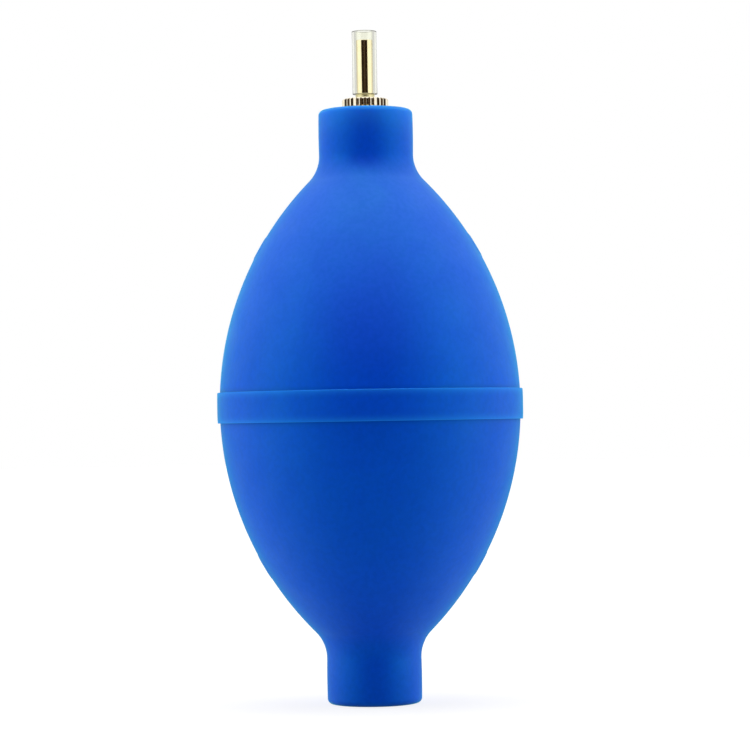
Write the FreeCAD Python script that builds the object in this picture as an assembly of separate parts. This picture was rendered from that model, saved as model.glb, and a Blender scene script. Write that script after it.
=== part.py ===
"""Dust blower bulb for watch repair, in millimetres.

A hollow rubber bulb made of two identical half mouldings, butt-bonded at the equator under a thin belt.
The upper neck holds a brass bush, into which a knurled nozzle screws against an O-ring. The nozzle tube
stands in a flared ferrule and wears a clear push-on tip sleeve. The lower neck holds the inlet valve: a
ball on a soft conical seat, a light spring, its perforated retainer, a filter disc and a perforated cap.

Frame: +Z up along the bulb's axis, origin on the floor at the centre of the lower neck's end face.
The bulb is squeezed along Y, front and back, so two wall panels there are solids of their own.
"""

import FreeCAD, Part

import math
import os

Vector = FreeCAD.Vector
UP = Vector(0, 0, 1)
ORIGIN = Vector(0, 0, 0)

# ---------------------------------------------------------------- driving dimensions
BULB_LENGTH = 116.4
BELLY_RADIUS = 29.5
BELLY_ARC = 62.8  # radius of the meridian arc of the belly
WALL = 2.4
NECK_RADIUS = 9.25
NECK_FILLET = 7.4  # concave fillet from belly to neck
NECK_EDGE_ROUND = 1.0
SOCKET_RADIUS = 5.0  # bore of each neck
SOCKET_FILLET = 4.0  # inner fillet from the belly's hollow to that bore

BELT_RADIUS = 30.0
BELT_HEIGHT = 6.0
BELT_CHAMFER = 0.2

SIDE_PAD_HEIGHT = 31.2  # above and below the equator, on +X and -X
SIDE_PAD_PROUD = 0.12
SIDE_PAD_HALF_WIDTH = 5.0
SIDE_PAD_HALF_HEIGHT = 2.2

PANEL_HALF_WIDTH = 19.0
PANEL_HALF_HEIGHT = 30.0
PANEL_GAP = 0.3

FLANGE_RADIUS = 7.0
FLANGE_RECESS = 1.4  # depth of the neck's end recess, for an insert's flange
VALVE_RECESS = 0.4  # the valve's flange stands this far inside, so rubber meets the floor
INSERT_LENGTH = 12.0
BARB_COUNT = 3
BARB_PITCH = 2.0
BARB_LENGTH = 1.5
BARB_PROUD = 0.5
FIRST_BARB = 2.4  # depth of the first barb's steep face

THREAD_BORE = 2.75  # thread of the bush, as a plain bore at mid thread
THREAD_CLEARANCE = 0.05
THREAD_LENGTH = 7.5
ORING_SECTION = 0.49
ORING_MEAN_RADIUS = 3.4
ORING_RECESS_RADIUS = 4.0
ORING_RECESS_DEPTH = 0.75
ORING_CLEARANCE = 0.01

COLLAR_RADIUS = 4.6
COLLAR_HEIGHT = 1.8
COLLAR_GAP = 0.3  # from the bush's flange up to the collar
COLLAR_CHAMFER = 0.25
KNURL_TEETH = 32
KNURL_DEPTH = 0.32
KNURL_LAND = 0.3  # share of a tooth's pitch that its flat top takes

TUBE_RADIUS = 1.65
TUBE_BORE = 1.0
TUBE_LENGTH = 19.3
TUBE_TIP = 13.7  # tip of the tube above the neck's end
FERRULE_TOP_RADIUS = 1.9
FERRULE_FOOT_RADIUS = 2.15
FERRULE_HEIGHT = 1.0
FERRULE_TOP_ROUND = 0.15

SLEEVE_RADIUS = 2.45
SLEEVE_BORE = 1.68
SLEEVE_LENGTH = 12.4
SLEEVE_EDGE = 0.1  # small bevels at the sleeve's ends

BALL_RADIUS = 2.0
SEAT_THROAT = 1.2
SEAT_LEDGE_RADIUS = 1.8  # opening of the ledge that the seat ring sits on
SEAT_BOTTOM = 3.6  # underside of the seat ring, above the floor
SEAT_THICKNESS = 1.9
SEAT_LAND = 0.3  # straight throat below the seat's cone
CHAMBER_RADIUS = 2.9
BALL_CLEARANCE = 0.02
MOUTH_RADIUS = 4.0
MOUTH_DEPTH = 2.2  # top of the mouth's counterbore, above the floor
CAP_THICKNESS = 0.9
CAP_HOLE_RADIUS = 0.55
CAP_HOLE_CIRCLE = 2.4
CAP_HOLES = 6
RETAINER_THICKNESS = 1.2
RETAINER_HOLE_RADIUS = 0.45
RETAINER_HOLE_CIRCLE = 2.2
RETAINER_CENTRE_HOLE = 0.8
SPRING_WIRE_RADIUS = 0.15
SPRING_MEAN_RADIUS = 1.35
SPRING_TURNS = 4
SPRING_CHORDS = 20  # straight chords per turn
SPRING_CLEARANCE = 0.03

# ---------------------------------------------------------------- heights worked out from them
HALF_LENGTH = BULB_LENGTH / 2
EQUATOR = HALF_LENGTH
NECK_TOP = BULB_LENGTH
BELLY_CENTRE = BELLY_RADIUS - BELLY_ARC  # where the meridian arc is centred, on the equator
COLLAR_BOTTOM = NECK_TOP + COLLAR_GAP
COLLAR_TOP = COLLAR_BOTTOM + COLLAR_HEIGHT
STEM_BOTTOM = NECK_TOP - ORING_RECESS_DEPTH - THREAD_LENGTH
TIP = NECK_TOP + TUBE_TIP
TUBE_BOTTOM = TIP - TUBE_LENGTH
FERRULE_TOP = COLLAR_TOP + FERRULE_HEIGHT
VALVE_TOP = VALVE_RECESS + INSERT_LENGTH
# A ball on a 45 degree cone touches it at radius BALL_RADIUS / sqrt(2), as far below the ball's centre.
CONE_BOTTOM = SEAT_BOTTOM + SEAT_LAND
BALL_TOUCH = BALL_RADIUS * math.sqrt(0.5)
BALL_HEIGHT = CONE_BOTTOM + (BALL_TOUCH - SEAT_THROAT) + BALL_TOUCH + BALL_CLEARANCE
RETAINER_BOTTOM = VALVE_TOP - RETAINER_THICKNESS


# ---------------------------------------------------------------- helpers
def at(radius, height):
    """A point of a profile, in the XZ plane."""
    return Vector(radius, 0, height)


def line(start, end):
    return Part.LineSegment(start, end).toShape()


def arc(start, middle, end):
    return Part.Arc(start, middle, end).toShape()


def polyline(points):
    return [line(a, b) for a, b in zip(points, points[1:])]


def revolved(edges):
    """The solid of a closed profile of the XZ plane, turned about Z."""
    face = Part.Face(Part.Wire(Part.__sortEdges__(edges)))
    return face.revolve(ORIGIN, UP, 360)


def lathe(points):
    """The turned solid of a closed polygon of (radius, height) pairs."""
    corners = [at(r, h) for r, h in points]
    return revolved(polyline(corners + corners[:1]))


def disc(radius, bottom, top):
    return Part.makeCylinder(radius, top - bottom, Vector(0, 0, bottom))


def ring_of_holes(radius, circle, count, bottom, top):
    """Round cutters, evenly spaced on a circle."""
    cutters = []
    for i in range(count):
        turn = 2 * math.pi * i / count
        foot = Vector(circle * math.cos(turn), circle * math.sin(turn), bottom)
        cutters.append(Part.makeCylinder(radius, top - bottom, foot))
    return cutters


def upper(shape):
    """A half drawn from the equator upwards, put at the upper half's place."""
    placed = shape.copy()
    placed.translate(Vector(0, 0, EQUATOR))
    return placed


def lower(shape):
    """The same half upside down. A half turn about X keeps the moulding's hand."""
    placed = shape.copy()
    placed.rotate(ORIGIN, Vector(1, 0, 0), 180)
    placed.translate(Vector(0, 0, EQUATOR))
    return placed


# ---------------------------------------------------------------- the bulb
def half_envelope(grow, neck_radius, fillet, end_round):
    """The solid inside one half's surface, moved outwards by grow, from the equator to the neck's end.

    The belly is one arc and the neck a cylinder, with a fillet tangent to both.
    """
    belly = BELLY_ARC + grow
    reach = belly + fillet
    across = neck_radius + fillet - BELLY_CENTRE
    fillet_height = math.sqrt(reach**2 - across**2)
    lean = math.atan2(fillet_height, across)
    start = at(BELLY_RADIUS + grow, 0)
    on_belly = at(BELLY_CENTRE + belly * math.cos(lean / 2), belly * math.sin(lean / 2))
    tangent = at(BELLY_CENTRE + belly * math.cos(lean), belly * math.sin(lean))
    on_fillet = at(
        neck_radius + fillet - fillet * math.cos(lean / 2),
        fillet_height - fillet * math.sin(lean / 2),
    )
    neck_foot = at(neck_radius, fillet_height)
    neck_end = at(neck_radius, HALF_LENGTH - end_round)
    edges = [arc(start, on_belly, tangent), arc(tangent, on_fillet, neck_foot)]
    edges.append(line(neck_foot, neck_end))
    rim = neck_end
    if end_round:
        slant = end_round * (1 - math.sqrt(0.5))
        rim = at(neck_radius - end_round, HALF_LENGTH)
        edges.append(arc(neck_end, at(neck_radius - slant, HALF_LENGTH - slant), rim))
    edges += polyline([rim, at(0, HALF_LENGTH), at(0, 0), start])
    return revolved(edges)


def insert_blank(flange_top):
    """The outside of a neck insert, from the equator upwards: flange, barbed shank and plain nose.

    flange_top is how far the flange stands inside the neck's end.
    """
    def depth(d):
        return HALF_LENGTH - d

    points = [(0, depth(flange_top)), (FLANGE_RADIUS, depth(flange_top))]
    points += [(FLANGE_RADIUS, depth(FLANGE_RECESS)), (SOCKET_RADIUS, depth(FLANGE_RECESS))]
    for i in range(BARB_COUNT):
        steep = FIRST_BARB + i * BARB_PITCH
        points.append((SOCKET_RADIUS, depth(steep)))
        points.append((SOCKET_RADIUS + BARB_PROUD, depth(steep)))
        points.append((SOCKET_RADIUS, depth(steep + BARB_LENGTH)))
    nose = flange_top + INSERT_LENGTH
    points += [(SOCKET_RADIUS, depth(nose)), (0, depth(nose))]
    return lathe(points)


def side_pads(grown):
    """Two shallow raised oval pads of one half, on +X and -X."""
    centre = Vector(0, 0, SIDE_PAD_HEIGHT)
    tall = centre + Vector(0, 0, SIDE_PAD_HALF_HEIGHT)
    wide = centre + Vector(0, SIDE_PAD_HALF_WIDTH, 0)
    oval = Part.Face(Part.Wire(Part.Ellipse(wide, tall, centre).toShape()))
    reach = Vector(BELLY_RADIUS, 0, 0)
    return [grown.common(oval.extrude(way)) for way in (reach, reach * -1)]


def half_shell():
    """One half moulding, from the equator upwards."""
    outside = half_envelope(0, NECK_RADIUS, NECK_FILLET, NECK_EDGE_ROUND)
    grown = half_envelope(SIDE_PAD_PROUD, NECK_RADIUS, NECK_FILLET, NECK_EDGE_ROUND)
    hollow = half_envelope(-WALL, SOCKET_RADIUS, SOCKET_FILLET, 0)
    solid = outside.fuse(side_pads(grown))
    return solid.cut(hollow).cut(insert_blank(0)).removeSplitter()


def belt(envelope):
    """The band bonded over the seam, its inside lying on the bulb."""
    outer, inner = BELT_RADIUS, BELLY_RADIUS - 1
    half, slope = BELT_HEIGHT / 2, BELT_CHAMFER
    band = lathe(
        [
            (inner, EQUATOR - half),
            (outer - slope, EQUATOR - half),
            (outer, EQUATOR - half + slope),
            (outer, EQUATOR + half - slope),
            (outer - slope, EQUATOR + half),
            (inner, EQUATOR + half),
        ]
    )
    return band.cut(envelope)


def panel_cutter(grow, way):
    """An elliptical bar along Y that cuts the squeezed patch out of the wall, front (-1) or back (1)."""
    centre = Vector(0, 0, EQUATOR)
    tall = centre + Vector(0, 0, PANEL_HALF_HEIGHT + grow)
    wide = centre + Vector(PANEL_HALF_WIDTH + grow, 0, 0)
    oval = Part.Face(Part.Wire(Part.Ellipse(tall, wide, centre).toShape()))
    return oval.extrude(Vector(0, way * (BELT_RADIUS + 5), 0))


def bulb_parts():
    half = half_shell()
    top, bottom = upper(half), lower(half)
    outside = half_envelope(0, NECK_RADIUS, NECK_FILLET, NECK_EDGE_ROUND)
    envelope = upper(outside).fuse(lower(outside))
    band = belt(envelope)
    whole = top.fuse([bottom, band]).removeSplitter()
    panels = [whole.common(panel_cutter(-PANEL_GAP / 2, way)) for way in (-1, 1)]
    holes = [panel_cutter(PANEL_GAP / 2, way) for way in (-1, 1)]
    return {
        "upper_bulb_shell": top.cut(holes),
        "lower_bulb_shell": bottom.cut(holes),
        "belt_band": band.cut(holes),
        "front_squeeze_wall": panels[0],
        "back_squeeze_wall": panels[1],
    }


# ---------------------------------------------------------------- the nozzle, in the upper neck
def neck_bush():
    blank = upper(insert_blank(0))
    thread = disc(THREAD_BORE, NECK_TOP - INSERT_LENGTH - 1, NECK_TOP + 1)
    recess = disc(ORING_RECESS_RADIUS, NECK_TOP - ORING_RECESS_DEPTH, NECK_TOP + 1)
    return blank.cut([thread, recess])


def oring_seal():
    """Held between the bush's recess and the collar's underside."""
    centre = Vector(0, 0, COLLAR_BOTTOM - ORING_SECTION - ORING_CLEARANCE)
    return Part.makeTorus(ORING_MEAN_RADIUS, ORING_SECTION, centre, UP)


def knurl_outline():
    """The collar's toothed outline: flat-topped teeth with V grooves between them."""
    corners = []
    pitch = 2 * math.pi / KNURL_TEETH
    for i in range(KNURL_TEETH):
        middle = i * pitch
        for turn, radius in (
            (middle - KNURL_LAND * pitch / 2, COLLAR_RADIUS),
            (middle + KNURL_LAND * pitch / 2, COLLAR_RADIUS),
            (middle + pitch / 2, COLLAR_RADIUS - KNURL_DEPTH),
        ):
            corners.append(
                Vector(radius * math.cos(turn), radius * math.sin(turn), COLLAR_BOTTOM)
            )
    return Part.Face(Part.makePolygon(corners + corners[:1]))


def knurled_collar():
    """The thumb collar with its threaded stem, bored for the tube above and for air below."""
    rim, slope = COLLAR_RADIUS, COLLAR_CHAMFER
    blank = lathe(
        [
            (0, COLLAR_BOTTOM),
            (rim - slope, COLLAR_BOTTOM),
            (rim, COLLAR_BOTTOM + slope),
            (rim, COLLAR_TOP - slope),
            (rim - slope, COLLAR_TOP),
            (0, COLLAR_TOP),
        ]
    )
    toothed = blank.common(knurl_outline().extrude(Vector(0, 0, COLLAR_HEIGHT)))
    stem = disc(THREAD_BORE - THREAD_CLEARANCE, STEM_BOTTOM, COLLAR_BOTTOM)
    seat = disc(TUBE_RADIUS, TUBE_BOTTOM, COLLAR_TOP + 1)
    air = disc(TUBE_BORE, STEM_BOTTOM - 1, TUBE_BOTTOM + 1)
    return toothed.fuse(stem).cut([seat, air])


def nozzle_tube():
    outside = disc(TUBE_RADIUS, TUBE_BOTTOM, TIP)
    return outside.cut(disc(TUBE_BORE, TUBE_BOTTOM - 1, TIP + 1))


def tube_ferrule():
    """The flared ring round the tube's root. It stands on the collar and stops the sleeve."""
    foot, top = COLLAR_TOP, FERRULE_TOP
    waist = at((FERRULE_TOP_RADIUS * 2 + FERRULE_FOOT_RADIUS) / 3, foot + FERRULE_HEIGHT * 0.4)
    shoulder = at(FERRULE_TOP_RADIUS, top - FERRULE_TOP_ROUND)
    rim = at(FERRULE_TOP_RADIUS - FERRULE_TOP_ROUND, top)
    flare = arc(at(FERRULE_FOOT_RADIUS, foot), waist, shoulder)
    edges = [flare] + polyline([shoulder, rim, at(TUBE_RADIUS, top), at(TUBE_RADIUS, foot)])
    edges.append(line(at(TUBE_RADIUS, foot), at(FERRULE_FOOT_RADIUS, foot)))
    return revolved(edges)


def tip_sleeve():
    """The clear protective sleeve, standing on the ferrule and reaching past the tube's tip."""
    bottom, top, edge = FERRULE_TOP, FERRULE_TOP + SLEEVE_LENGTH, SLEEVE_EDGE
    return lathe(
        [
            (SLEEVE_BORE, bottom),
            (SLEEVE_RADIUS - edge, bottom),
            (SLEEVE_RADIUS, bottom + edge),
            (SLEEVE_RADIUS, top - edge),
            (SLEEVE_RADIUS - edge, top),
            (SLEEVE_BORE, top),
        ]
    )


# ---------------------------------------------------------------- the inlet valve, in the lower neck
def valve_body():
    """The valve's housing: mouth, ledge, and the straight chamber that holds seat ring, ball and spring."""
    bore = lathe(
        [
            (0, VALVE_RECESS - 1),
            (MOUTH_RADIUS, VALVE_RECESS - 1),
            (MOUTH_RADIUS, MOUTH_DEPTH),
            (SEAT_LEDGE_RADIUS, MOUTH_DEPTH),
            (SEAT_LEDGE_RADIUS, SEAT_BOTTOM),
            (CHAMBER_RADIUS, SEAT_BOTTOM),
            (CHAMBER_RADIUS, VALVE_TOP + 1),
            (0, VALVE_TOP + 1),
        ]
    )
    return lower(insert_blank(VALVE_RECESS)).cut(bore)


def seat_ring():
    """The soft ring pressed into the chamber's bottom, with the 45 degree cone that the ball closes."""
    top = SEAT_BOTTOM + SEAT_THICKNESS
    cone_top = SEAT_THROAT + top - CONE_BOTTOM
    return lathe(
        [
            (SEAT_THROAT, SEAT_BOTTOM),
            (CHAMBER_RADIUS, SEAT_BOTTOM),
            (CHAMBER_RADIUS, top),
            (cone_top, top),
            (SEAT_THROAT, CONE_BOTTOM),
        ]
    )


def inlet_cap():
    """The perforated disc pressed into the valve's mouth."""
    bottom, top = VALVE_RECESS, VALVE_RECESS + CAP_THICKNESS
    holes = ring_of_holes(CAP_HOLE_RADIUS, CAP_HOLE_CIRCLE, CAP_HOLES, bottom - 1, top + 1)
    holes.append(disc(CAP_HOLE_RADIUS, bottom - 1, top + 1))
    return disc(MOUTH_RADIUS, bottom, top).cut(holes)


def filter_disc():
    return disc(MOUTH_RADIUS, VALVE_RECESS + CAP_THICKNESS, MOUTH_DEPTH)


def valve_ball():
    return Part.makeSphere(BALL_RADIUS, Vector(0, 0, BALL_HEIGHT))


def spring_retainer():
    """The perforated disc pressed into the chamber's top, which the spring pushes against."""
    low, high = RETAINER_BOTTOM - 1, VALVE_TOP + 1
    holes = ring_of_holes(RETAINER_HOLE_RADIUS, RETAINER_HOLE_CIRCLE, CAP_HOLES, low, high)
    holes.append(disc(RETAINER_CENTRE_HOLE, low, high))
    return disc(CHAMBER_RADIUS, RETAINER_BOTTOM, VALVE_TOP).cut(holes)


def valve_spring():
    """A light coil spring from the ball's shoulder up to the retainer, its helix drawn as short chords."""
    on_ball = BALL_HEIGHT + math.sqrt(
        (BALL_RADIUS + SPRING_WIRE_RADIUS) ** 2 - SPRING_MEAN_RADIUS**2
    )
    bottom = on_ball + SPRING_CLEARANCE
    top = RETAINER_BOTTOM - SPRING_WIRE_RADIUS - SPRING_CLEARANCE
    steps = SPRING_TURNS * SPRING_CHORDS
    points = []
    for i in range(steps + 1):
        turn = 2 * math.pi * i / SPRING_CHORDS
        height = bottom + (top - bottom) * i / steps
        across = Vector(SPRING_MEAN_RADIUS * math.cos(turn), SPRING_MEAN_RADIUS * math.sin(turn), 0)
        points.append(across + Vector(0, 0, height))
    section = Part.makeCircle(SPRING_WIRE_RADIUS, points[0], points[1] - points[0])
    mitred = 1
    return Part.makePolygon(points).makePipeShell([Part.Wire(section)], True, False, mitred)


# ---------------------------------------------------------------- writing the nodes
def main():
    parts = {
        **bulb_parts(),
        "neck_bush": neck_bush(),
        "oring_seal": oring_seal(),
        "knurled_collar": knurled_collar(),
        "nozzle_tube": nozzle_tube(),
        "tube_ferrule": tube_ferrule(),
        "tip_sleeve": tip_sleeve(),
        "valve_body": valve_body(),
        "inlet_cap": inlet_cap(),
        "filter_disc": filter_disc(),
        "seat_ring": seat_ring(),
        "valve_ball": valve_ball(),
        "valve_spring": valve_spring(),
        "spring_retainer": spring_retainer(),
    }
    os.makedirs("parts", exist_ok=True)
    for name, shape in parts.items():
        solids = shape.Solids
        for solid in solids:
            if not solid.isValid() or solid.Volume <= 0:
                raise ValueError(f"{name} holds a bad solid")
        whole = solids[0] if len(solids) == 1 else Part.makeCompound(solids)
        whole.exportStep(os.path.join("parts", name + ".step"))
        print(f"{name}: {len(solids)} solid(s), {whole.Volume:.1f} mm3")


main()
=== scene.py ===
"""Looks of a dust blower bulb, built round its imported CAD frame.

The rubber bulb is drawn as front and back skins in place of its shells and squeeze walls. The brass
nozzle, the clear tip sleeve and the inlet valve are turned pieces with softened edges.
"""

import math

import bmesh
import bpy
from mathutils import Matrix, Vector


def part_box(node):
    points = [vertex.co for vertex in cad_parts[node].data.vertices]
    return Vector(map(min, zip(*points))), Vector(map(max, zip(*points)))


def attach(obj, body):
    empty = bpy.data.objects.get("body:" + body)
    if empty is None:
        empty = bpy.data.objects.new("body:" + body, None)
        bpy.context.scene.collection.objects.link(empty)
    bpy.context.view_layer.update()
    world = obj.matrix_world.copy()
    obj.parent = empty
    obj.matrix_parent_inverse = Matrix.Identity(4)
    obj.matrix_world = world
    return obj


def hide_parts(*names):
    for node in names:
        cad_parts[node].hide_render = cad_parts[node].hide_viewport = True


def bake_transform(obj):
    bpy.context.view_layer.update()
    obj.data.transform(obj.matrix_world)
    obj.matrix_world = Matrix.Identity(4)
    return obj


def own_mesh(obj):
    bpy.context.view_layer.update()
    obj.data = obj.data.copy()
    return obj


MM = 0.001
FULL_TURN = 2 * math.pi

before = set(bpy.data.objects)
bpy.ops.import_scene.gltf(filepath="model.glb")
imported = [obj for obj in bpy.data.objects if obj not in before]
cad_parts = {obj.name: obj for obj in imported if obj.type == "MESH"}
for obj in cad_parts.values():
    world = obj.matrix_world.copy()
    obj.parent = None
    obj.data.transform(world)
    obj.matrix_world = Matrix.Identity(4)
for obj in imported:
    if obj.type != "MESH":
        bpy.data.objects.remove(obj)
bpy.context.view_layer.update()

# ---------------------------------------------------------------- sizes from the frame, in metres
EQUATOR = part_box("upper_bulb_shell")[0].z
NECK_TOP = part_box("upper_bulb_shell")[1].z
HALF_LENGTH = NECK_TOP - EQUATOR
BELLY_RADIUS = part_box("upper_bulb_shell")[1].x
BELT_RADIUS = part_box("belt_band")[1].x
BELT_HALF_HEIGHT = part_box("belt_band")[1].z - EQUATOR
FLANGE_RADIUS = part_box("neck_bush")[1].x
BUSH_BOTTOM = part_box("neck_bush")[0].z
VALVE_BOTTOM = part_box("valve_body")[0].z
VALVE_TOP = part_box("valve_body")[1].z
COLLAR_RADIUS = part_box("knurled_collar")[1].x
COLLAR_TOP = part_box("knurled_collar")[1].z
STEM_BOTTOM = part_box("knurled_collar")[0].z
TUBE_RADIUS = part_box("nozzle_tube")[1].x
TUBE_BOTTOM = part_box("nozzle_tube")[0].z
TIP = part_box("nozzle_tube")[1].z
FERRULE_FOOT_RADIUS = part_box("tube_ferrule")[1].x
FERRULE_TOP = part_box("tube_ferrule")[1].z
SLEEVE_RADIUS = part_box("tip_sleeve")[1].x
SLEEVE_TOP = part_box("tip_sleeve")[1].z
SEAT_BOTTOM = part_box("seat_ring")[0].z
MOUTH_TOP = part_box("filter_disc")[1].z
MOUTH_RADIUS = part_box("inlet_cap")[1].x
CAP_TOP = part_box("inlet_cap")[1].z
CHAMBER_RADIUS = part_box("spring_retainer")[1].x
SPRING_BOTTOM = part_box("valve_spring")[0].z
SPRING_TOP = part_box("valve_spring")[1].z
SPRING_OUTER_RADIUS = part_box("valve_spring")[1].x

# ---------------------------------------------------------------- sizes that a box doesn't give
BELLY_ARC = 62.8 * MM
WALL = 2.4 * MM
NECK_RADIUS = 9.25 * MM
NECK_FILLET = 7.4 * MM
NECK_EDGE_ROUND = 1.0 * MM
NECK_BARREL = 0.05 * MM  # how much the neck swells between its ends
SOCKET_RADIUS = 5.0 * MM
SOCKET_FILLET = 4.0 * MM
FLANGE_RECESS = 1.4 * MM
RECESS_ROUND = 0.2 * MM
SIDE_PAD_HEIGHT = 31.2 * MM
SIDE_PAD_PROUD = 0.12 * MM
SIDE_PAD_HALF_WIDTH = 5.0 * MM
SIDE_PAD_HALF_HEIGHT = 2.2 * MM
SIDE_PAD_SLOPE = 0.12  # width of the pad's edge, as a share of the pad
BELT_SINK = 0.1 * MM  # how deep the belt's inside lies in the belly's face
BELT_ROUND = 0.12 * MM
BELT_CROWN = 0.06 * MM
BELT_CROWN_POWER = 5
BARB_FACES = (2.4 * MM, 4.4 * MM, 6.4 * MM)
BARB_LENGTH = 1.5 * MM
BARB_PROUD = 0.5 * MM
KNURL_TEETH = 32
KNURL_DEPTH = 0.32 * MM
KNURL_LAND = 0.3
COLLAR_HEIGHT = 1.8 * MM
COLLAR_CHAMFER = 0.25 * MM
COLLAR_DISH = 0.12 * MM
COLLAR_FACE = 0.65 * MM  # from the collar's outside to its dish
STEM_RADIUS = 2.7 * MM
THREAD_PITCH = 0.75 * MM
THREAD_DEPTH = 0.36 * MM
THREAD_RUN_OUT = 1.2 * MM
THREAD_LEAD_IN = 0.3 * MM
TUBE_BORE = 1.0 * MM
TUBE_LIP = 0.14 * MM
FERRULE_TOP_RADIUS = 1.9 * MM
FERRULE_WAIST_RADIUS = 1.84 * MM
FERRULE_FLARE_SHARE = 0.7  # the flare's share of the ferrule's height
FERRULE_LIP = 0.14 * MM
SLEEVE_BORE = 1.68 * MM
ORING_RECESS_RADIUS = 4.0 * MM
ORING_RECESS_DEPTH = 0.75 * MM
BUSH_BORE = 2.75 * MM
SEAT_LEDGE_RADIUS = 1.8 * MM
CAP_HOLE_RADIUS = 0.55 * MM
CAP_HOLE_CIRCLE = 2.4 * MM
CAP_HOLES = 6
SPRING_TURNS = 4
WIRE_RADIUS = 0.15 * MM

# ---------------------------------------------------------------- mesh density
AROUND_HALF = 180  # columns of half a turn of the bulb
BELLY_ROWS = 120
FILLET_ROWS = 36
INSIDE_BELLY_ROWS = 40
INSIDE_FILLET_ROWS = 12
NECK_ROWS = 16
NECK_EDGE_STEPS = 10
BELT_ROWS = 40
ROUND_STEPS = 6
TURNED_COLUMNS = 128


# ---------------------------------------------------------------- mesh helpers
def placed(name, mesh, material, sharp_degrees=35):
    """The object of a smooth-shaded mesh, whose edges stay sharp above that angle."""
    mesh.shade_smooth()
    mesh.set_sharp_from_angle(angle=math.radians(sharp_degrees))
    mesh.materials.clear()
    mesh.materials.append(material)
    obj = bpy.data.objects.new(name, mesh)
    bpy.context.scene.collection.objects.link(obj)
    return obj


def piece(name, vertices, faces, material, sharp_degrees=35):
    """The object of a mesh made from its vertices and faces."""
    mesh = bpy.data.meshes.new(name)
    mesh.from_pydata([tuple(v) for v in vertices], [], faces)
    mesh.update()
    return placed(name, mesh, material, sharp_degrees)


def loft_faces(sections, points, closed=True):
    """Faces between neighbouring sections, each a loop of that many points.

    A closed loft joins its last section to its first. An open one has its two end sections capped.
    """
    faces = []
    for s in range(sections if closed else sections - 1):
        here, there = s * points, (s + 1) % sections * points
        for k in range(points):
            up = (k + 1) % points
            faces.append((here + k, there + k, there + up, here + up))
    if not closed:
        last = (sections - 1) * points
        faces.append(tuple(range(points)))
        faces.append(tuple(last + k for k in reversed(range(points))))
    return faces


def rounded(corners):
    """A closed profile from (radius, height, rounding) corners."""
    points = []
    for i, (r, z, rounding) in enumerate(corners):
        here = Vector((r, z))
        if not rounding:
            points.append((r, z))
            continue
        before = (Vector(corners[i - 1][:2]) - here).normalized()
        after = (Vector(corners[(i + 1) % len(corners)][:2]) - here).normalized()
        reach = rounding / math.tan(before.angle(after) / 2)
        start, end = here + before * reach, here + after * reach
        for k in range(ROUND_STEPS + 1):
            t = k / ROUND_STEPS
            points.append(tuple(start * (1 - t) ** 2 + here * 2 * t * (1 - t) + end * t**2))
    return points


def turned(name, profile, material):
    """A ring turned about Z from a closed profile of (radius, height) points."""
    vertices = []
    for c in range(TURNED_COLUMNS):
        turn = FULL_TURN * c / TURNED_COLUMNS
        for r, z in profile:
            vertices.append((r * math.cos(turn), r * math.sin(turn), z))
    return piece(name, vertices, loft_faces(TURNED_COLUMNS, len(profile)), material)


def arc_points(centre_r, centre_h, radius, start, end, steps):
    """Points of a circular arc in the (radius, height) plane."""
    points = []
    for k in range(steps + 1):
        turn = start + (end - start) * k / steps
        points.append((centre_r + radius * math.cos(turn), centre_h + radius * math.sin(turn)))
    return points


# ---------------------------------------------------------------- node helpers
def new_material(name):
    """A material and its tree, with the Principled shader that its surface starts from."""
    material = bpy.data.materials.new(name)
    material.use_nodes = True
    tree = material.node_tree
    return material, tree, tree.nodes["Principled BSDF"]


def feed(tree, value, socket):
    """Sets a socket to a number or colour, or links another node's socket to it."""
    if isinstance(value, bpy.types.NodeSocket):
        tree.links.new(value, socket)
    else:
        socket.default_value = value


def calc(tree, operation, *values):
    """The socket of a Math node."""
    made = tree.nodes.new("ShaderNodeMath")
    made.operation = operation
    for socket, value in zip(made.inputs, values):
        feed(tree, value, socket)
    return made.outputs["Value"]


def spread(tree, value, from_low, from_high, to_low, to_high, smooth=False):
    """A value carried from one range to another, and held at its ends."""
    made = tree.nodes.new("ShaderNodeMapRange")
    made.interpolation_type = "SMOOTHSTEP" if smooth else "LINEAR"
    limits = (value, from_low, from_high, to_low, to_high)
    for name, limit in zip(("Value", "From Min", "From Max", "To Min", "To Max"), limits):
        feed(tree, limit, made.inputs[name])
    return made.outputs["Result"]


def object_point(tree, stretch=(1, 1, 1)):
    """The place on the object, in metres, stretched for brushed or turned textures."""
    place = tree.nodes.new("ShaderNodeTexCoord").outputs["Object"]
    scaled = tree.nodes.new("ShaderNodeVectorMath")
    scaled.operation = "MULTIPLY"
    feed(tree, place, scaled.inputs[0])
    scaled.inputs[1].default_value = stretch
    return scaled.outputs["Vector"]


def noise(tree, place, size, detail, roughness=0.5):
    """Noise from about 0.25 to 0.75 whose blotches are about size metres wide."""
    made = tree.nodes.new("ShaderNodeTexNoise")
    made.inputs["Scale"].default_value = 1 / size
    made.inputs["Detail"].default_value = detail
    made.inputs["Roughness"].default_value = roughness
    feed(tree, place, made.inputs["Vector"])
    return made.outputs["Fac"]


def varied(tree, amount, low=0, high=1):
    """Noise spread over the whole range from low to high."""
    usual_low, usual_high = 0.3, 0.7
    return spread(tree, amount, usual_low, usual_high, low, high)


def mixed(tree, share, low, high):
    """A colour between two, by a share from 0 to 1."""
    made = tree.nodes.new("ShaderNodeMix")
    made.data_type = "RGBA"
    factor, colour_a, colour_b, result = 0, 6, 7, 2  # by number: the names repeat for each data type
    feed(tree, share, made.inputs[factor])
    feed(tree, low, made.inputs[colour_a])
    feed(tree, high, made.inputs[colour_b])
    return made.outputs[result]


def two_tone(tree, share, low, high):
    """A colour between two given without alpha."""
    return mixed(tree, share, (*low, 1), (*high, 1))


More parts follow.
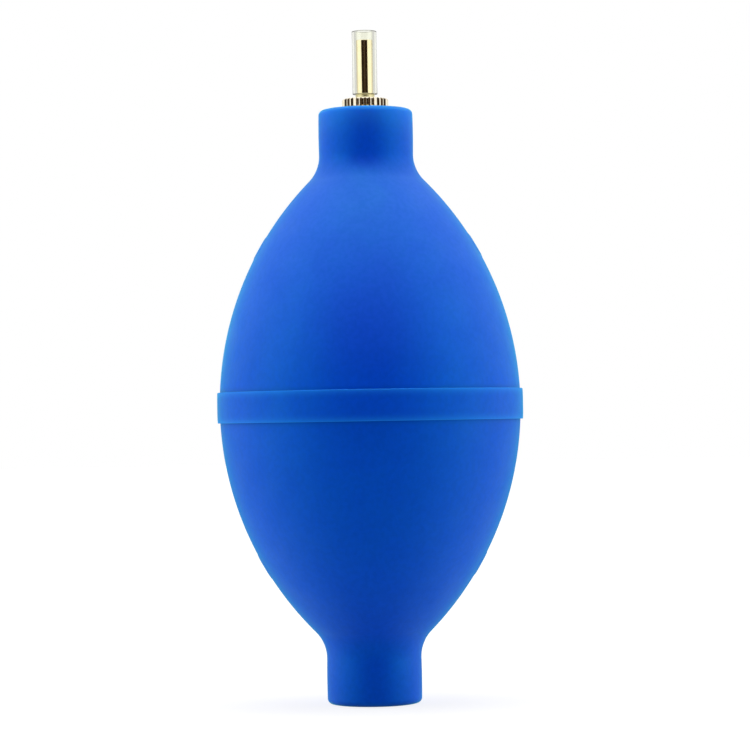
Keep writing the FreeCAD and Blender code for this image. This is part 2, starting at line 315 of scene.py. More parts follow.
def split(tree, vector):
    """The sockets of a vector's X, Y and Z."""
    parts = tree.nodes.new("ShaderNodeSeparateXYZ")
    feed(tree, vector, parts.inputs["Vector"])
    return parts.outputs["X"], parts.outputs["Y"], parts.outputs["Z"]


def bump(tree, shader, height, depth, strength):
    """Relief on a shader, depth metres high for a height of 1."""
    made = tree.nodes.new("ShaderNodeBump")
    made.inputs["Strength"].default_value = strength
    made.inputs["Distance"].default_value = depth
    feed(tree, height, made.inputs["Height"])
    feed(tree, made.outputs["Normal"], shader.inputs["Normal"])


# ---------------------------------------------------------------- materials
BLUE_DARK = (0.0001, 0.005, 0.75)
BLUE_LIGHT = (0.0009, 0.02, 0.87)
# painted top light: the rubber is painted paler where it faces up
TOP_LIT_PALE = (0.05, 0.04, 0.8, 1)
TOP_LIT_SLOPES = (0.08, 0.7)  # upward part of the surface's normal where the painted top light begins, and where it is full
TOP_LIT_SHARE = 0.4
LIGHT_COLOUR_REACH = (0.2, 0.6, 1.0)  # how far red, green and blue light spread, as shares of the depth
LIGHT_DEPTH = 3 * MM
LIT_LENGTH = 4 * MM
LIT_FULL_LENGTH = 1 * MM


def silicone_blue(name, bands, lit_end=None):
    """Satin moulded silicone: fine mould grain, faint mottling, and an azure gloss at glancing light.

    What faces up is painted paler, as painted light from above.

    bands are (height, reach, colour): the rubber takes that colour at that height, fading over the reach.
    lit_end is the height of an end face whose light spreads down through the rubber.
    """
    material, tree, shader = new_material(name)
    place = object_point(tree)
    mottle = varied(tree, noise(tree, place, size=14 * MM, detail=3))
    speck = spread(tree, noise(tree, place, size=0.9 * MM, detail=3), 0.35, 0.65, 0, 1)
    tone = calc(tree, "ADD", calc(tree, "MULTIPLY", mottle, 0.4), calc(tree, "MULTIPLY", speck, 0.6))
    colour = two_tone(tree, tone, BLUE_DARK, BLUE_LIGHT)
    # painted top light: faces that look up are mixed towards a paler blue
    upward = split(tree, tree.nodes.new("ShaderNodeNewGeometry").outputs["Normal"])[2]
    patchy = spread(tree, speck, 0, 1, 0.8, 1.2)
    top_lit_paint = calc(tree, "MULTIPLY", spread(tree, upward, *TOP_LIT_SLOPES, 0, TOP_LIT_SHARE), patchy)
    colour = mixed(tree, top_lit_paint, colour, TOP_LIT_PALE)
    height = split(tree, place)[2]
    # the bands paint highlights and shade into the rubber's colour at given heights
    for middle, reach, band_colour in bands:
        away = calc(tree, "ABSOLUTE", calc(tree, "SUBTRACT", height, middle))
        near = spread(tree, away, 0, reach, 1, 0)
        share = calc(tree, "MULTIPLY", calc(tree, "MULTIPLY", near, near), near)
        colour = mixed(tree, share, colour, (*band_colour, 1))
    feed(tree, colour, shader.inputs["Base Color"])
    if lit_end is not None:
        lit = spread(tree, height, lit_end - LIT_LENGTH, lit_end - LIT_FULL_LENGTH, 0, 1, True)
        feed(tree, lit, shader.inputs["Subsurface Weight"])
        shader.inputs["Subsurface Radius"].default_value = LIGHT_COLOUR_REACH
        shader.inputs["Subsurface Scale"].default_value = LIGHT_DEPTH
    smear = noise(tree, place, size=5 * MM, detail=3)
    feed(tree, varied(tree, smear, 0.53, 0.62), shader.inputs["Roughness"])
    shader.inputs["IOR"].default_value = 1.7
    shader.inputs["Specular IOR Level"].default_value = 1.0
    shader.inputs["Specular Tint"].default_value = (0.01, 0.85, 1.0, 1)
    shader.inputs["Sheen Weight"].default_value = 0.5
    shader.inputs["Sheen Roughness"].default_value = 0.35
    shader.inputs["Sheen Tint"].default_value = (0.0, 1.0, 0.75, 1)
    grain = noise(tree, place, size=0.22 * MM, detail=2, roughness=0.6)
    waves = noise(tree, place, size=3 * MM, detail=1)
    relief = calc(tree, "ADD", calc(tree, "MULTIPLY", grain, 0.35), waves)
    bump(tree, shader, relief, depth=0.02 * MM, strength=0.8)
    return material


def brass(name, low, high, rough_low, rough_high, turning):
    """Plated or bare brass with turning marks. turning is the width of the marks along Z."""
    material, tree, shader = new_material(name)
    shader.inputs["Metallic"].default_value = 1.0
    rings = object_point(tree, stretch=(0.02, 0.02, 1))
    marks = noise(tree, rings, size=turning, detail=3, roughness=0.6)
    cloud = varied(tree, noise(tree, object_point(tree), size=1.5 * MM, detail=3))
    feed(tree, two_tone(tree, cloud, low, high), shader.inputs["Base Color"])
    feed(tree, varied(tree, marks, rough_low, rough_high), shader.inputs["Roughness"])
    bump(tree, shader, marks, depth=0.0015 * MM, strength=0.6)
    return material


def clear_tubing():
    """Clear flexible tubing, very slightly milky, with drawn lines along it."""
    material, tree, shader = new_material("clear_tubing")
    shader.inputs["Base Color"].default_value = (0.95, 0.955, 0.87, 1)
    shader.inputs["Transmission Weight"].default_value = 1.0
    shader.inputs["IOR"].default_value = 1.42
    along = object_point(tree, stretch=(1, 1, 0.05))
    lines = noise(tree, along, size=0.3 * MM, detail=2)
    feed(tree, varied(tree, lines, 0.015, 0.05), shader.inputs["Roughness"])
    bump(tree, shader, lines, depth=0.004 * MM, strength=0.5)
    return material


def steel(name, rough_low, rough_high):
    """Bright steel, slightly cloudy, with fine scratches."""
    material, tree, shader = new_material(name)
    shader.inputs["Metallic"].default_value = 1.0
    place = object_point(tree)
    cloud = varied(tree, noise(tree, place, size=0.8 * MM, detail=3))
    feed(tree, two_tone(tree, cloud, (0.56, 0.57, 0.58), (0.68, 0.68, 0.69)), shader.inputs["Base Color"])
    across = object_point(tree, stretch=(1, 0.06, 1))
    scratches = noise(tree, across, size=0.08 * MM, detail=3, roughness=0.6)
    feed(tree, varied(tree, scratches, rough_low, rough_high), shader.inputs["Roughness"])
    bump(tree, shader, scratches, depth=0.002 * MM, strength=0.5)
    return material


def rubber_black():
    """Matte black rubber with a little dust."""
    material, tree, shader = new_material("black_rubber")
    place = object_point(tree)
    dust = spread(tree, noise(tree, place, size=0.3 * MM, detail=3), 0.35, 0.75, 0, 1)
    feed(tree, two_tone(tree, dust, (0.012, 0.012, 0.013), (0.04, 0.04, 0.042)), shader.inputs["Base Color"])
    feed(tree, spread(tree, dust, 0, 1, 0.42, 0.6), shader.inputs["Roughness"])
    bump(tree, shader, noise(tree, place, size=0.1 * MM, detail=2), depth=0.01 * MM, strength=0.5)
    return material


def felt():
    """Pressed filter felt: short crossing fibres."""
    material, tree, shader = new_material("filter_felt")
    place = object_point(tree)
    fibre = {"size": 0.07 * MM, "detail": 4, "roughness": 0.7}
    fibres = noise(tree, object_point(tree, stretch=(1, 0.15, 1)), **fibre)
    crossing = noise(tree, object_point(tree, stretch=(0.15, 1, 1)), **fibre)
    mat = calc(tree, "MAXIMUM", fibres, crossing)
    share = spread(tree, mat, 0.4, 0.75, 0, 1)
    feed(tree, two_tone(tree, share, (0.42, 0.41, 0.37), (0.86, 0.85, 0.8)), shader.inputs["Base Color"])
    cloud = noise(tree, place, size=0.6 * MM, detail=2)
    feed(tree, varied(tree, cloud, 0.85, 1.0), shader.inputs["Roughness"])
    bump(tree, shader, mat, depth=0.06 * MM, strength=0.8)
    return material


PAINTED_EDGE_HIGHLIGHT = (0.012, 0.16, 1.0)  # painted highlight: a paler band along a free edge of the rubber, where light catches it
PAINTED_RIM_HIGHLIGHT = (0.03, 0.21, 1.0)  # painted highlight, stronger at the neck's end
PAINTED_CREASE_SHADE = (0.0002, 0.008, 0.52)  # painted shade in the crease beside the belt
FOOT_SHADE = (0.0001, 0.002, 0.3)  # or the edge that the bulb stands on
# how far the painted highlights and painted shade reach
RIM_HIGHLIGHT_REACH = 8 * MM
EDGE_HIGHLIGHT_REACH = 2 * MM
CREASE_SHADE_REACH = 1.6 * MM
FOOT_REACH = 1.6 * MM
BELT_EDGES = (EQUATOR - BELT_HALF_HEIGHT, EQUATOR + BELT_HALF_HEIGHT)
# the bulb's bands: a painted highlight at the neck's end, and painted shade at the foot and beside the belt
BULB_BANDS = [(NECK_TOP, RIM_HIGHLIGHT_REACH, PAINTED_RIM_HIGHLIGHT), (0, FOOT_REACH, FOOT_SHADE)]
BULB_BANDS += [(edge, CREASE_SHADE_REACH, PAINTED_CREASE_SHADE) for edge in BELT_EDGES]
BLUE = silicone_blue("blue_silicone", BULB_BANDS, NECK_TOP)
# the belt's bands: a painted highlight along both of its edges
BELT_BLUE = silicone_blue("blue_belt_silicone", [(edge, EDGE_HIGHLIGHT_REACH, PAINTED_EDGE_HIGHLIGHT) for edge in BELT_EDGES])
GILT = brass("gilt_brass", (0.93, 0.82, 0.56), (0.97, 0.87, 0.63), 0.05, 0.11, 0.12 * MM)
COLLAR_BRASS = brass("collar_gilt_brass", (0.78, 0.69, 0.52), (0.84, 0.76, 0.6), 0.1, 0.18, 0.1 * MM)
TURNED_BRASS = brass("turned_brass", (0.8, 0.62, 0.27), (0.88, 0.71, 0.35), 0.14, 0.26, 0.06 * MM)
FERRULE_BRASS = brass("ferrule_brass", (0.88, 0.80, 0.44), (0.94, 0.87, 0.5), 0.34, 0.46, 0.08 * MM)
CLEAR = clear_tubing()
STEEL = steel("bright_steel", 0.12, 0.24)
CAP_STEEL = steel("stamped_steel", 0.2, 0.36)
BLACK = rubber_black()
FELT = felt()


# ---------------------------------------------------------------- the rubber bulb
def belly_and_fillet(grow, neck_radius, fillet, rows, fillet_rows):
    """The meridian from the equator up to the neck's foot, as (radius, height over the equator)."""
    belly = BELLY_ARC + grow
    centre = BELLY_RADIUS - BELLY_ARC
    across = neck_radius + fillet - centre
    foot = math.sqrt((belly + fillet) ** 2 - across**2)
    lean = math.atan2(foot, across)
    points = arc_points(centre, 0, belly, 0, lean, rows)
    points += arc_points(neck_radius + fillet, foot, fillet, lean + math.pi, math.pi, fillet_rows)[1:]
    return points


def neck_outside(foot):
    """The neck's side from its foot, then its rounded end edge and end face, up to the flange's recess."""
    points = []
    straight = HALF_LENGTH - NECK_EDGE_ROUND - foot
    for k in range(1, NECK_ROWS):
        t = k / NECK_ROWS
        points.append((NECK_RADIUS + NECK_BARREL * math.sin(math.pi * t), foot + straight * t))
    centre = HALF_LENGTH - NECK_EDGE_ROUND
    edge_centre = (NECK_RADIUS - NECK_EDGE_ROUND, centre)
    points += arc_points(*edge_centre, NECK_EDGE_ROUND, 0, math.pi / 2, NECK_EDGE_STEPS)
    recess_centre = (FLANGE_RADIUS + RECESS_ROUND, HALF_LENGTH - RECESS_ROUND)
    points += arc_points(*recess_centre, RECESS_ROUND, math.pi / 2, math.pi, ROUND_STEPS)
    return points


def neck_inside():
    """The flange's recess and the barbed socket, from the neck's end inwards."""
    points = [(FLANGE_RADIUS, HALF_LENGTH - FLANGE_RECESS), (SOCKET_RADIUS, HALF_LENGTH - FLANGE_RECESS)]
    for face in BARB_FACES:
        points.append((SOCKET_RADIUS, HALF_LENGTH - face))
        points.append((SOCKET_RADIUS + BARB_PROUD, HALF_LENGTH - face))
        points.append((SOCKET_RADIUS, HALF_LENGTH - face - BARB_LENGTH))
    return points


def half_profile():
    """One half moulding's closed profile. The second value counts the points of its outside."""
    outside = belly_and_fillet(0, NECK_RADIUS, NECK_FILLET, BELLY_ROWS, FILLET_ROWS)
    outside += neck_outside(outside[-1][1])
    inside = belly_and_fillet(-WALL, SOCKET_RADIUS, SOCKET_FILLET, INSIDE_BELLY_ROWS, INSIDE_FILLET_ROWS)
    return outside + neck_inside() + inside[::-1], BELLY_ROWS + FILLET_ROWS


def pad_height(y, height):
    """How proud the raised oval side pads stand at a point of the belly."""
    away = math.hypot(y / SIDE_PAD_HALF_WIDTH, (height - SIDE_PAD_HEIGHT) / SIDE_PAD_HALF_HEIGHT)
    t = min(max((1 + SIDE_PAD_SLOPE - away) / (2 * SIDE_PAD_SLOPE), 0), 1)
    return SIDE_PAD_PROUD * t * t * (3 - 2 * t)


def half_turn_skin(name, profile, belly_points, up, side, material):
    """Half of a turned ring, front (side -1) or back (side 1), closed by its own cut faces.

    up is 1 for the upper half and -1 for the lower. The first belly_points rows carry the side pads.
    """
    vertices = []
    for c in range(AROUND_HALF + 1):
        turn = math.pi * c / AROUND_HALF
        for k, (r, h) in enumerate(profile):
            grown = r
            if k < belly_points:
                grown += pad_height(r * math.sin(turn), h)
            vertices.append((grown * math.cos(turn), side * grown * math.sin(turn), EQUATOR + up * h))
    faces = loft_faces(AROUND_HALF + 1, len(profile), closed=False)
    if up * side < 0:
        faces = [face[::-1] for face in faces]
    return piece(name, vertices, faces, material)


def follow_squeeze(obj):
    """A front or back skin has its placement baked into its mesh."""
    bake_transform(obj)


def bulb_skins():
    """The two half mouldings, each as a front and a back skin."""
    profile, belly_points = half_profile()
    for half, up in (("upper", 1), ("lower", -1)):
        for name, side in (("front", -1), ("back", 1)):
            skin = half_turn_skin(f"{half}_bulb_{name}_skin", profile, belly_points, up, side, BLUE)
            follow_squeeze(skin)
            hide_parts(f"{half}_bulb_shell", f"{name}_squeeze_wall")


def belt_profile():
    """The belt's section, whose outside is crowned towards its edges."""
    inner = BELLY_RADIUS - BELT_SINK
    edge = BELT_HALF_HEIGHT - BELT_ROUND
    rim = BELT_RADIUS - BELT_CROWN - BELT_ROUND
    points = [(inner, -BELT_HALF_HEIGHT)]
    points += arc_points(rim, -edge, BELT_ROUND, -math.pi / 2, 0, ROUND_STEPS)
    for k in range(1, BELT_ROWS):
        t = 2 * k / BELT_ROWS - 1
        points.append((BELT_RADIUS - BELT_CROWN * abs(t) ** BELT_CROWN_POWER, edge * t))
    points += arc_points(rim, edge, BELT_ROUND, 0, math.pi / 2, ROUND_STEPS)
    points.append((inner, BELT_HALF_HEIGHT))
    return points


def belt_skins():
    """The belt, as a front and a back skin."""
    profile = belt_profile()
    for name, side in (("front", -1), ("back", 1)):
        skin = half_turn_skin(f"belt_{name}_skin", profile, 0, 1, side, BELT_BLUE)
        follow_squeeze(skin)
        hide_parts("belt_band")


# ---------------------------------------------------------------- the nozzle
def neck_bush():
    """The barbed brass bush, its flange flush with the neck's end."""
    soft = 0.12 * MM
    recess = NECK_TOP - ORING_RECESS_DEPTH
    corners = [
        (ORING_RECESS_RADIUS, NECK_TOP, soft),
        (ORING_RECESS_RADIUS, recess, 0),
        (BUSH_BORE, recess, soft),
        (BUSH_BORE, BUSH_BOTTOM, soft),
        (SOCKET_RADIUS, BUSH_BOTTOM, soft),
    ]
    for face in reversed(BARB_FACES):
        corners.append((SOCKET_RADIUS, NECK_TOP - face - BARB_LENGTH, 0))
        corners.append((SOCKET_RADIUS + BARB_PROUD, NECK_TOP - face, 0))
        corners.append((SOCKET_RADIUS, NECK_TOP - face, 0))
    corners.append((SOCKET_RADIUS, NECK_TOP - FLANGE_RECESS, 0))
    corners.append((FLANGE_RADIUS, NECK_TOP - FLANGE_RECESS, 0))
    corners.append((FLANGE_RADIUS, NECK_TOP, soft))
    bush = turned("threaded_neck_bush", rounded(corners), TURNED_BRASS)
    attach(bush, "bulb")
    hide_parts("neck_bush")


def knurl_radius(phase):
    """The collar's radius by the phase within one tooth: flat land, then a V groove."""
    from_middle = abs(phase - 0.5) * 2
    return COLLAR_RADIUS - KNURL_DEPTH * max(0, from_middle - KNURL_LAND) / (1 - KNURL_LAND)


def collar_head():
    """The knurled thumb collar, its teeth chamfered at both ends, dished slightly on top."""
    bottom = COLLAR_TOP - COLLAR_HEIGHT
    dish_radius = COLLAR_RADIUS - COLLAR_FACE
    thin = 0.001 * MM  # keeps the chamfer's faces from vanishing in the grooves
    phases = (0, (1 - KNURL_LAND) / 2, 0.5, (1 + KNURL_LAND) / 2)
    vertices = []
    for tooth in range(KNURL_TEETH):
        for phase in phases:
            turn = FULL_TURN * (tooth + phase) / KNURL_TEETH
            edge = knurl_radius(phase)
            chamfer = max(edge - COLLAR_RADIUS + COLLAR_CHAMFER, 0)
            section = (
                (TUBE_RADIUS, COLLAR_TOP - COLLAR_DISH),
                (TUBE_RADIUS, bottom),
                (edge - chamfer, bottom),
                (edge, bottom + chamfer + thin),
                (edge, COLLAR_TOP - chamfer - thin),
                (edge - chamfer, COLLAR_TOP),
                (dish_radius, COLLAR_TOP),
                (dish_radius - COLLAR_DISH, COLLAR_TOP - COLLAR_DISH),
            )
            for r, z in section:
                vertices.append((r * math.cos(turn), r * math.sin(turn), z))
    faces = loft_faces(KNURL_TEETH * len(phases), len(section))
    head = piece("knurled_collar_head", vertices, faces, COLLAR_BRASS, sharp_degrees=15)
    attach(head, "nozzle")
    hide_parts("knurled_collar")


def thread_depth(below_top, above_end, turns):
    """How deep the thread is cut at a point of the stem, on a column that many turns round.

    The groove is a V with a narrow crest and root. It fades out under the head and at the stem's end.
    """
    steepness, crest, first_share = 1.3, 0.1, 0.4
    phase = (above_end / THREAD_PITCH - turns) % 1
    groove = min(1, max(0, (1 - abs(phase - 0.5) * 2) * steepness - crest))
    fade = min(1, below_top / THREAD_RUN_OUT, above_end / THREAD_LEAD_IN + first_share)
    return THREAD_DEPTH * groove * fade


def threaded_stem():
    """The collar's stem, with a right-hand thread that matches the bush's pitch."""
    top = COLLAR_TOP - COLLAR_HEIGHT
    length = top - STEM_BOTTOM
    columns, rows_per_pitch = 64, 8
    rows = int(length / THREAD_PITCH * rows_per_pitch)
    vertices = []
    for c in range(columns):
        turn = FULL_TURN * c / columns
        section = [(TUBE_BORE, top), (TUBE_BORE, STEM_BOTTOM), (STEM_RADIUS - THREAD_DEPTH, STEM_BOTTOM)]
        for k in range(1, rows + 1):
            rise = length * k / rows
            section.append((STEM_RADIUS - thread_depth(length - rise, rise, c / columns), STEM_BOTTOM + rise))
        for r, z in section:
            vertices.append((r * math.cos(turn), r * math.sin(turn), z))
    stem = piece("threaded_stem", vertices, loft_faces(columns, len(section)), GILT, sharp_degrees=50)
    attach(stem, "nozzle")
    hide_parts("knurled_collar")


def nozzle_tube():
    """The polished tube, its tip's edges rounded."""
    corners = [
        (TUBE_BORE, TIP, TUBE_LIP),
        (TUBE_BORE, TUBE_BOTTOM, 0),
        (TUBE_RADIUS, TUBE_BOTTOM, 0),
        (TUBE_RADIUS, TIP, TUBE_LIP),
    ]
    tube = turned("polished_nozzle_tube", rounded(corners), GILT)
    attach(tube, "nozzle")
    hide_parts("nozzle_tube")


def tube_ferrule():
    """The flared ring that the sleeve stands on, with a hollow waist."""
    flare_height = (FERRULE_TOP - COLLAR_TOP) * FERRULE_FLARE_SHARE
    steps = 14
    profile = [(TUBE_RADIUS, COLLAR_TOP)]
    for k in range(steps + 1):
        t = k / steps
        flare = (FERRULE_FOOT_RADIUS - FERRULE_WAIST_RADIUS) * (1 - t) ** 2
        profile.append((FERRULE_WAIST_RADIUS + flare, COLLAR_TOP + flare_height * t))
    lip_centre = (FERRULE_TOP_RADIUS - FERRULE_LIP, FERRULE_TOP - FERRULE_LIP)
    lip_starts, lip_steps = -0.4, 8  # the lip begins that many radians below its middle
    profile += arc_points(*lip_centre, FERRULE_LIP, lip_starts, math.pi / 2, lip_steps)
    profile.append((TUBE_RADIUS, FERRULE_TOP))
    ferrule = turned("flared_tube_ferrule", profile, FERRULE_BRASS)
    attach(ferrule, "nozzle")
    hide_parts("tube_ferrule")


def tip_sleeve():
    """The clear sleeve, cut from tubing: its edges are barely softened."""
    soft = 0.1 * MM
    corners = [
        (SLEEVE_BORE, SLEEVE_TOP, soft),
        (SLEEVE_BORE, FERRULE_TOP, soft),
        (SLEEVE_RADIUS, FERRULE_TOP, soft),
        (SLEEVE_RADIUS, SLEEVE_TOP, soft),
    ]
    sleeve = turned("clear_tip_sleeve", rounded(corners), CLEAR)
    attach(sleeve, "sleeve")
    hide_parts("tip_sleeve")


# ---------------------------------------------------------------- the inlet valve
def valve_body():
    """The barbed brass housing, with the ball's chamber above its seat ledge and a mouth below."""
    soft = 0.12 * MM
    corners = [
        (SOCKET_RADIUS, VALVE_TOP, soft),
        (CHAMBER_RADIUS, VALVE_TOP, soft),
        (CHAMBER_RADIUS, SEAT_BOTTOM, 0),
        (SEAT_LEDGE_RADIUS, SEAT_BOTTOM, 0),
        (SEAT_LEDGE_RADIUS, MOUTH_TOP, 0),
        (MOUTH_RADIUS, MOUTH_TOP, 0),
        (MOUTH_RADIUS, VALVE_BOTTOM, soft),
        (FLANGE_RADIUS, VALVE_BOTTOM, soft),
        (FLANGE_RADIUS, FLANGE_RECESS, 0),
        (SOCKET_RADIUS, FLANGE_RECESS, 0),
    ]
    for face in BARB_FACES:
        corners.append((SOCKET_RADIUS, face, 0))
        corners.append((SOCKET_RADIUS + BARB_PROUD, face, 0))
        corners.append((SOCKET_RADIUS, face + BARB_LENGTH, 0))
    body = turned("inlet_valve_body", rounded(corners), TURNED_BRASS)
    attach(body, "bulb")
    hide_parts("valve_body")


def circle_spline(curve, radius, centre):
    """A closed circle of a flat curve."""
    spline = curve.splines.new("BEZIER")
    spline.bezier_points.add(3)
    handle = radius * 4 / 3 * (math.sqrt(2) - 1)
    for i, point in enumerate(spline.bezier_points):
        turn = math.pi / 2 * i
        out = Vector((math.cos(turn), math.sin(turn), 0))
        along = Vector((-math.sin(turn), math.cos(turn), 0))
        point.co = centre + out * radius
        point.handle_left = point.co - along * handle
        point.handle_right = point.co + along * handle
    spline.use_cyclic_u = True


def inlet_cap():
    """The stamped steel disc in the valve's mouth, with a hole in its middle and a ring of holes."""
    soft = 0.06 * MM
    curve = bpy.data.curves.new("perforated_inlet_cap", "CURVE")
    curve.dimensions = "2D"
    curve.fill_mode = "BOTH"
    curve.resolution_u = 16
    curve.extrude = (CAP_TOP - VALVE_BOTTOM) / 2 - soft
    curve.bevel_depth = soft
    curve.bevel_resolution = 2
    curve.offset = -soft
    circle_spline(curve, MOUTH_RADIUS, Vector((0, 0, 0)))
    circle_spline(curve, CAP_HOLE_RADIUS, Vector((0, 0, 0)))
    for i in range(CAP_HOLES):
        turn = FULL_TURN * i / CAP_HOLES
        circle_spline(curve, CAP_HOLE_RADIUS, Vector((math.cos(turn), math.sin(turn), 0)) * CAP_HOLE_CIRCLE)
    source = bpy.data.objects.new("cap_outline", curve)
    mesh = bpy.data.meshes.new_from_object(source)
    bpy.data.objects.remove(source)
    mesh.transform(Matrix.Translation((0, 0, (CAP_TOP + VALVE_BOTTOM) / 2)))
    weld = bmesh.new()
    weld.from_mesh(mesh)
    bmesh.ops.remove_doubles(weld, verts=weld.verts, dist=0.001 * MM)
    weld.to_mesh(mesh)
    weld.free()
    cap = placed("perforated_inlet_cap", mesh, CAP_STEEL)
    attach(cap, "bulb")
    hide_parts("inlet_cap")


def valve_spring():
    """The round-wire coil, carried with the bulb's body."""
    columns, per_turn = 12, 40
    mean = SPRING_OUTER_RADIUS - WIRE_RADIUS
    bottom, top = SPRING_BOTTOM + WIRE_RADIUS, SPRING_TOP - WIRE_RADIUS
    steps = SPRING_TURNS * per_turn
    vertices = []
    for k in range(steps + 1):
        turn = FULL_TURN * k / per_turn
        out = Vector((math.cos(turn), math.sin(turn), 0))
        centre = out * mean + Vector((0, 0, bottom + (top - bottom) * k / steps))
        for c in range(columns):
            around = FULL_TURN * c / columns
            edge = out * math.cos(around) + Vector((0, 0, math.sin(around)))
            vertices.append(centre + edge * WIRE_RADIUS)
    faces = loft_faces(steps + 1, columns, closed=False)
    spring = piece("valve_coil_spring", vertices, faces, STEEL, sharp_degrees=60)
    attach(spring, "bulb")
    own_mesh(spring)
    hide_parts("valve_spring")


def finish_cad_nodes():
    """CAD nodes whose shape is right get a finished material."""
    finishes = {
        "oring_seal": BLACK,
        "seat_ring": BLACK,
        "filter_disc": FELT,
        "valve_ball": STEEL,
        "spring_retainer": CAP_STEEL,
    }
    for name, material in finishes.items():
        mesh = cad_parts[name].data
        mesh.materials.clear()
        mesh.materials.append(material)


# ---------------------------------------------------------------- the studio
# Azimuths are in degrees, 0 at the camera's side and 180 behind the bulb. A pair is where a fade begins
# and where it ends. Heights are sines of elevations.

# soft light, which diffuse surfaces receive
FRONT_LIGHT = 0.06
FRONT_LIGHT_ENDS = (0.55, 0.8)  # heights over which the front goes black
SIDE_LIGHT = 1.47
SIDE_LIGHT_RISES = (30, 79)
BACK_LIGHT = 0.3
BACK_LIGHT_FALLS = (120, 160)
TOP_LIGHT = 12
TOP_LIGHT_RISES = (0.9, 1.09)

# crisp reflections, in gloss and metal
SLIT_REFLECTION = 0.09  # a dim line of light in the middle of the open front
SLIT_ENDS = (4, 6)
GAP_REFLECTION = 0.025
GAP_COLOUR = (1.0, 0.6, 0.36)
GAP_ENDS = (37.5, 40.5)
GAP_TOP = (0.55, 0.7)
WARM_TO = 0.3  # strength of reflection up to which the gap's colour shows
WALL_REFLECTION = 1.3
WALL_REFLECTION_FALLS = (80, 110)
CORNER_REFLECTION = 0.7
BACK_REFLECTION = 1.05
BACK_REFLECTION_RISES = (148, 166)

# the floor
FLOOR_HALF_SIZE = 3.0
FLOOR_FRONT = 0.54
FLOOR_SIDE = 1.12
FLOOR_SIDE_RISES = (26, 86)
FLOOR_BACK = 0.6  # as a share of the floor's side
FLOOR_BACK_FALLS = (110, 160)
FLOOR_UNDER = 0.75  # as a share of the floor farther out
FLOOR_UNDER_ENDS = (10 * MM, 60 * MM)
FLOOR_REFLECTION = 0.57
FLOOR_GLOW = 0.8  # what the camera sees of it: a glow, and paper that takes a shadow
FLOOR_PAPER = 0.27


def azimuth(tree, x, y):
    """The angle in radians, 0 to pi, between a place and the camera's side, and its distance from Z."""
    squares = calc(tree, "ADD", calc(tree, "MULTIPLY", x, x), calc(tree, "MULTIPLY", y, y))
    never_zero = 1e-6
    length = calc(tree, "MAXIMUM", calc(tree, "SQRT", squares), never_zero)
    ahead = calc(tree, "DIVIDE", calc(tree, "MULTIPLY", y, -1.0), length)
    return calc(tree, "ARCCOSINE", ahead), length


def round_fade(tree, turn, degrees, low=0, high=1):
    """A value that goes smoothly from low to high between two azimuths."""
    start, end = (math.radians(d) for d in degrees)
    return spread(tree, turn, start, end, low, high, True)


def either(tree, choice, other, chosen):
    """The chosen value where choice is 1, and the other where it is 0."""
    return calc(tree, "ADD", other, calc(tree, "MULTIPLY", choice, calc(tree, "SUBTRACT", chosen, other)))


def opposite(tree, share):
    """1 where the share is 0, and 0 where it is 1."""
    return calc(tree, "SUBTRACT", 1.0, share)


def soft_light(tree, turn, height):
    """The tent's strength for diffuse light: a dim open front, bright sides and top, a dim back."""
    side = round_fade(tree, turn, SIDE_LIGHT_RISES)
    wall = either(tree, round_fade(tree, turn, BACK_LIGHT_FALLS), SIDE_LIGHT, BACK_LIGHT)
    wall = either(tree, side, FRONT_LIGHT, wall)
    front_end = spread(tree, height, *FRONT_LIGHT_ENDS, 0, 1, True)
    cut = calc(tree, "MULTIPLY", front_end, opposite(tree, side))
    wall = calc(tree, "MULTIPLY", wall, opposite(tree, cut))
    return either(tree, spread(tree, height, *TOP_LIGHT_RISES, 0, 1, True), wall, TOP_LIGHT)


def reflected_light(tree, turn, height):
    """The tent's strength in reflections: white walls round a dark gap in front."""
    wall = round_fade(tree, turn, WALL_REFLECTION_FALLS, WALL_REFLECTION, CORNER_REFLECTION)
    wall = either(tree, round_fade(tree, turn, BACK_REFLECTION_RISES), wall, BACK_REFLECTION)
    gap = round_fade(tree, turn, SLIT_ENDS, SLIT_REFLECTION, GAP_REFLECTION)
    crisp = either(tree, round_fade(tree, turn, GAP_ENDS), gap, wall)
    return either(tree, spread(tree, height, *GAP_TOP, 0, 1, True), crisp, WALL_REFLECTION)


def tent():
    """A white light tent, open towards the camera, which sees it as plain white.

    Soft light and crisp reflections have their own falloff at the open front, as from a tent with a
    bright back wall and a black camera slot.
    """
    world = bpy.data.worlds.new("light_tent")
    world.use_nodes = True
    world.cycles.sampling_method = "NONE"
    bpy.context.scene.world = world
    tree = world.node_tree
    x, y, z = split(tree, tree.nodes.new("ShaderNodeTexCoord").outputs["Generated"])
    turn = azimuth(tree, x, y)[0]
    path = tree.nodes.new("ShaderNodeLightPath").outputs
    soft, crisp = soft_light(tree, turn, z), reflected_light(tree, turn, z)
    strength = either(tree, path["Is Diffuse Ray"], crisp, soft)
    strength = either(tree, path["Is Camera Ray"], strength, 1.0)
    feed(tree, strength, tree.nodes["Background"].inputs["Strength"])
    warm = spread(tree, strength, GAP_REFLECTION, WARM_TO, 1, 0)
    warm = calc(tree, "MULTIPLY", warm, opposite(tree, path["Is Diffuse Ray"]))
    feed(tree, two_tone(tree, warm, (1, 1, 1), GAP_COLOUR), tree.nodes["Background"].inputs["Color"])


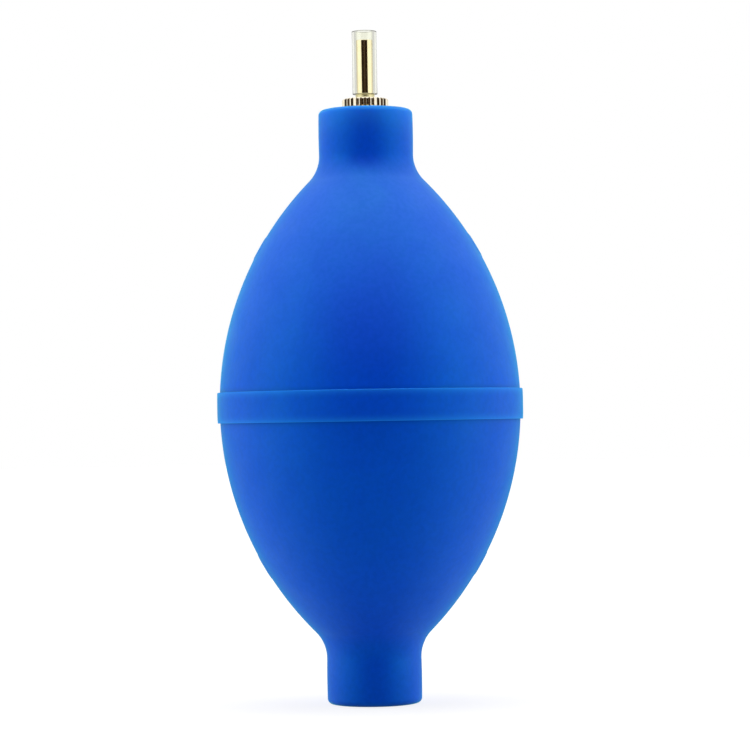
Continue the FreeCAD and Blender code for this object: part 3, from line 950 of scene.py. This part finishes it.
def floor():
    """A white floor with a faint contact shadow, dimmer to the bulb in front of it and under it."""
    material = bpy.data.materials.new("white_floor")
    material.use_nodes = True
    material.cycles.emission_sampling = "NONE"
    tree = material.node_tree
    tree.nodes.clear()
    out = tree.nodes.new("ShaderNodeOutputMaterial")
    x, y = split(tree, object_point(tree))[:2]
    turn, away = azimuth(tree, x, y)
    bounce = round_fade(tree, turn, FLOOR_SIDE_RISES, FLOOR_FRONT, FLOOR_SIDE)
    bounce = calc(tree, "MULTIPLY", bounce, round_fade(tree, turn, FLOOR_BACK_FALLS, 1, FLOOR_BACK))
    bounce = calc(tree, "MULTIPLY", bounce, spread(tree, away, *FLOOR_UNDER_ENDS, FLOOR_UNDER, 1, True))
    path = tree.nodes.new("ShaderNodeLightPath").outputs
    seen = path["Is Camera Ray"]
    bounce = either(tree, path["Is Diffuse Ray"], calc(tree, "MULTIPLY", bounce, FLOOR_REFLECTION), bounce)
    glow = tree.nodes.new("ShaderNodeEmission")
    feed(tree, either(tree, seen, bounce, FLOOR_GLOW), glow.inputs["Strength"])
    paper = tree.nodes.new("ShaderNodeBsdfDiffuse")
    feed(tree, two_tone(tree, seen, (0, 0, 0), (FLOOR_PAPER,) * 3), paper.inputs["Color"])
    both = tree.nodes.new("ShaderNodeAddShader")
    feed(tree, glow.outputs["Emission"], both.inputs[0])
    feed(tree, paper.outputs["BSDF"], both.inputs[1])
    feed(tree, both.outputs["Shader"], out.inputs["Surface"])
    far = FLOOR_HALF_SIZE
    corners = [(-far, -far, 0), (far, -far, 0), (far, far, 0), (-far, far, 0)]
    ground = piece("floor", corners, [(0, 1, 2, 3)], material)


CAMERA_DISTANCE = 0.55
CAMERA_HEIGHT = 0.0554
CAMERA_SIDE = 0.0009
CAMERA_LENS = 134.4  # in millimetres
CAMERA_SENSOR = 36
CAMERA_PITCH = 1.135  # in degrees, upwards
CAMERA_ROLL = 0.95


def camera():
    """The camera in front of the bulb, at a little under half its height."""
    data = bpy.data.cameras.new("camera")
    data.lens = CAMERA_LENS
    data.sensor_width = CAMERA_SENSOR
    data.clip_start = 0.01
    data.clip_end = 20
    cam = bpy.data.objects.new("camera", data)
    bpy.context.scene.collection.objects.link(cam)
    cam.location = (CAMERA_SIDE, -CAMERA_DISTANCE, CAMERA_HEIGHT)
    pitch = math.radians(90 + CAMERA_PITCH)
    cam.rotation_euler = (pitch, math.radians(CAMERA_ROLL), 0)
    bpy.context.scene.camera = cam


bulb_skins()
belt_skins()
neck_bush()
collar_head()
threaded_stem()
nozzle_tube()
tube_ferrule()
tip_sleeve()
valve_body()
inlet_cap()
valve_spring()
finish_cad_nodes()
tent()
floor()
camera()
bpy.context.scene.view_settings.view_transform = "Standard"
